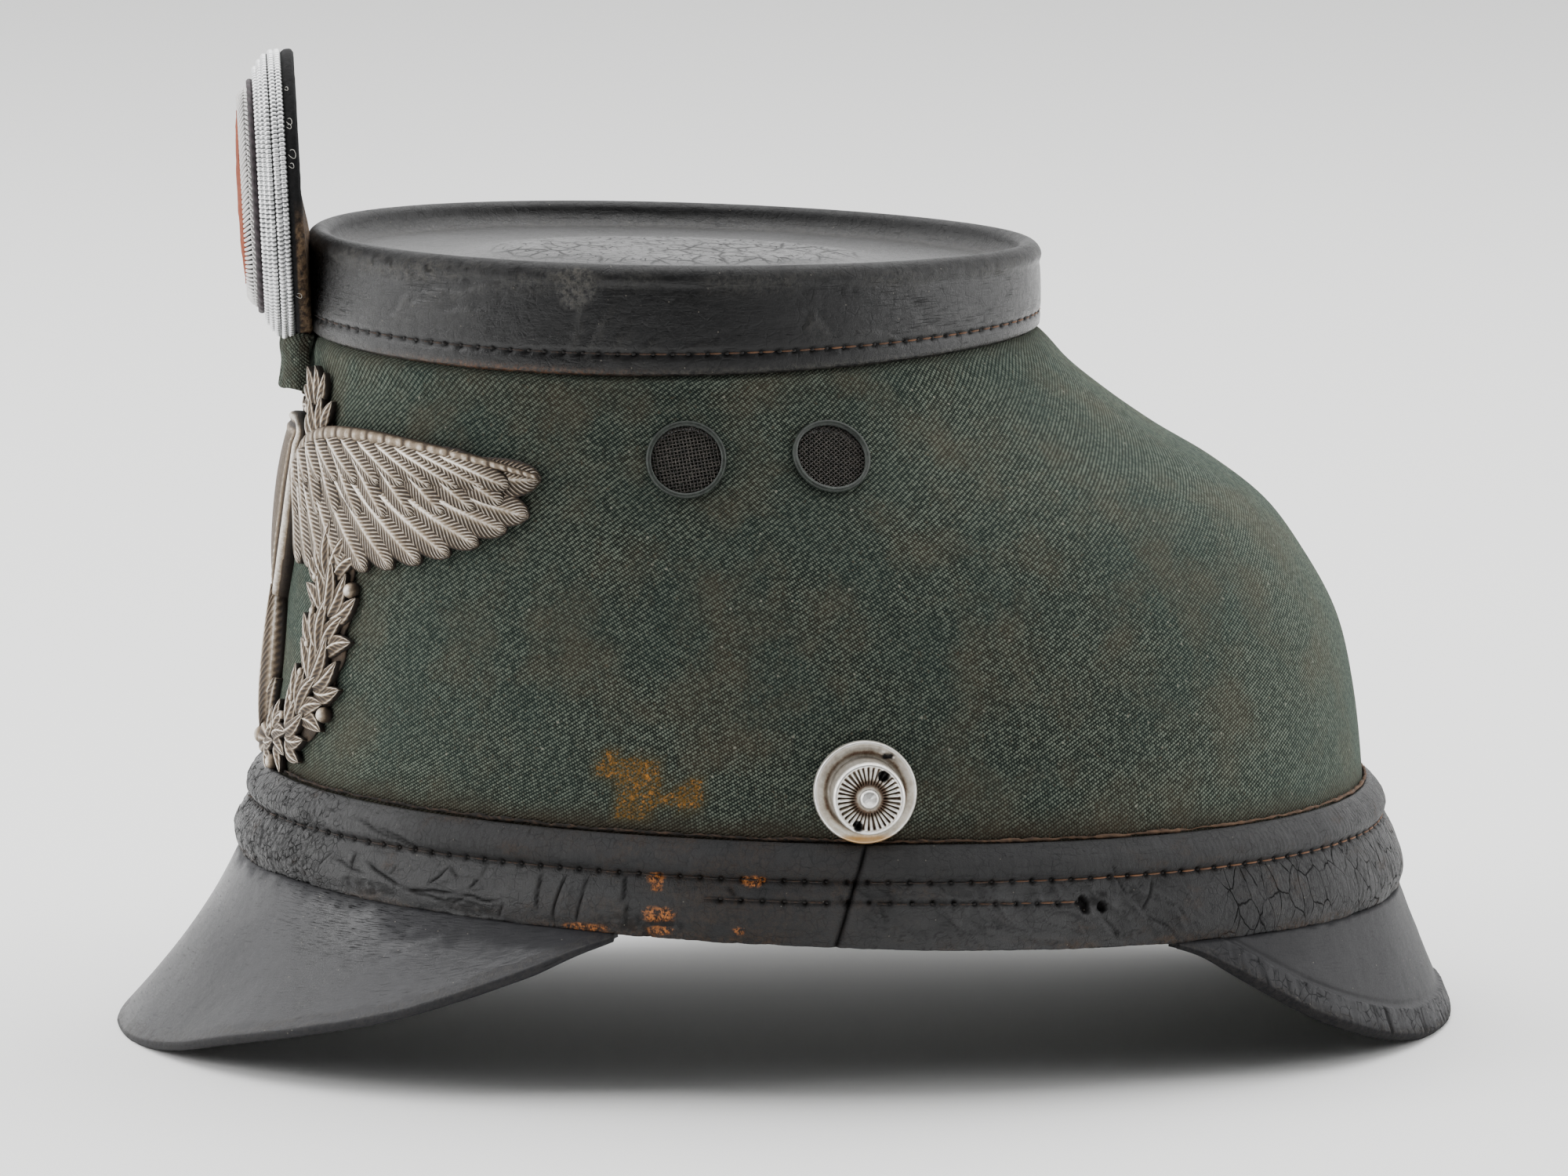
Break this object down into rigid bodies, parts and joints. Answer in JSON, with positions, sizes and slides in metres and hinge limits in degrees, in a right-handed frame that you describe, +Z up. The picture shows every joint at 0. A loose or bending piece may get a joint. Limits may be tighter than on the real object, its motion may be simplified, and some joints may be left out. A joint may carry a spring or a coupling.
{
  "type": "shako hat",
  "caption": "Cloth-covered shako with leather crown, band and two peaks, side vents and bosses, a pressed front badge and an upright oval cockade.",
  "frame": {"origin": "on the surface the shako rests on, at the middle of its outline seen from above", "axes": "-Y is the front, +X is the wearer's left, +Z is up"},
  "size_m": [0.2048, 0.2912, 0.2104],
  "materials": {
    "wool_cloth": "grey-green wool twill, worn",
    "black_leather": "black leather, crazed and scuffed",
    "peak_leather": "black leather, smooth, grey sheen",
    "pressed_metal": "pressed, dulled with brown in the recesses",
    "boss_metal": "turned and pressed, scratched",
    "painted_rim": "thin grey-green paint",
    "wire_gauze": "woven wire, dark",
    "black_board": "black board, brown worn edge",
    "silver_cord": "wound silver-white metal thread",
    "braided_cord": "silver and dark herringbone braid",
    "dark_cord": "near-black chenille",
    "orange_felt": "orange-red felt"
  },
  "bodies": {
    "root": {"cloth_body": "wool_cloth", "cockade_board": "black_board", "cockade_center": "orange_felt", "cockade_dark_ring": "dark_cord", "cockade_inner_cord": "braided_cord", "cockade_loop": "wool_cloth", "cockade_outer_cord": "silver_cord", "cockade_prong": "pressed_metal", "crown_top": "black_leather", "front_badge": "pressed_metal", "front_band": "black_leather", "front_peak": "peak_leather", "left_boss_base": "boss_metal", "left_boss_knob": "boss_metal", "left_front_vent_gauze": "wire_gauze", "left_front_vent_ring": "painted_rim", "left_rear_vent_gauze": "wire_gauze", "left_rear_vent_ring": "painted_rim", "rear_band": "black_leather", "rear_peak": "peak_leather", "right_boss_base": "boss_metal", "right_boss_knob": "boss_metal", "right_front_vent_gauze": "wire_gauze", "right_front_vent_ring": "painted_rim", "right_rear_vent_gauze": "wire_gauze", "right_rear_vent_ring": "painted_rim"}
  },
  "joints": []
}
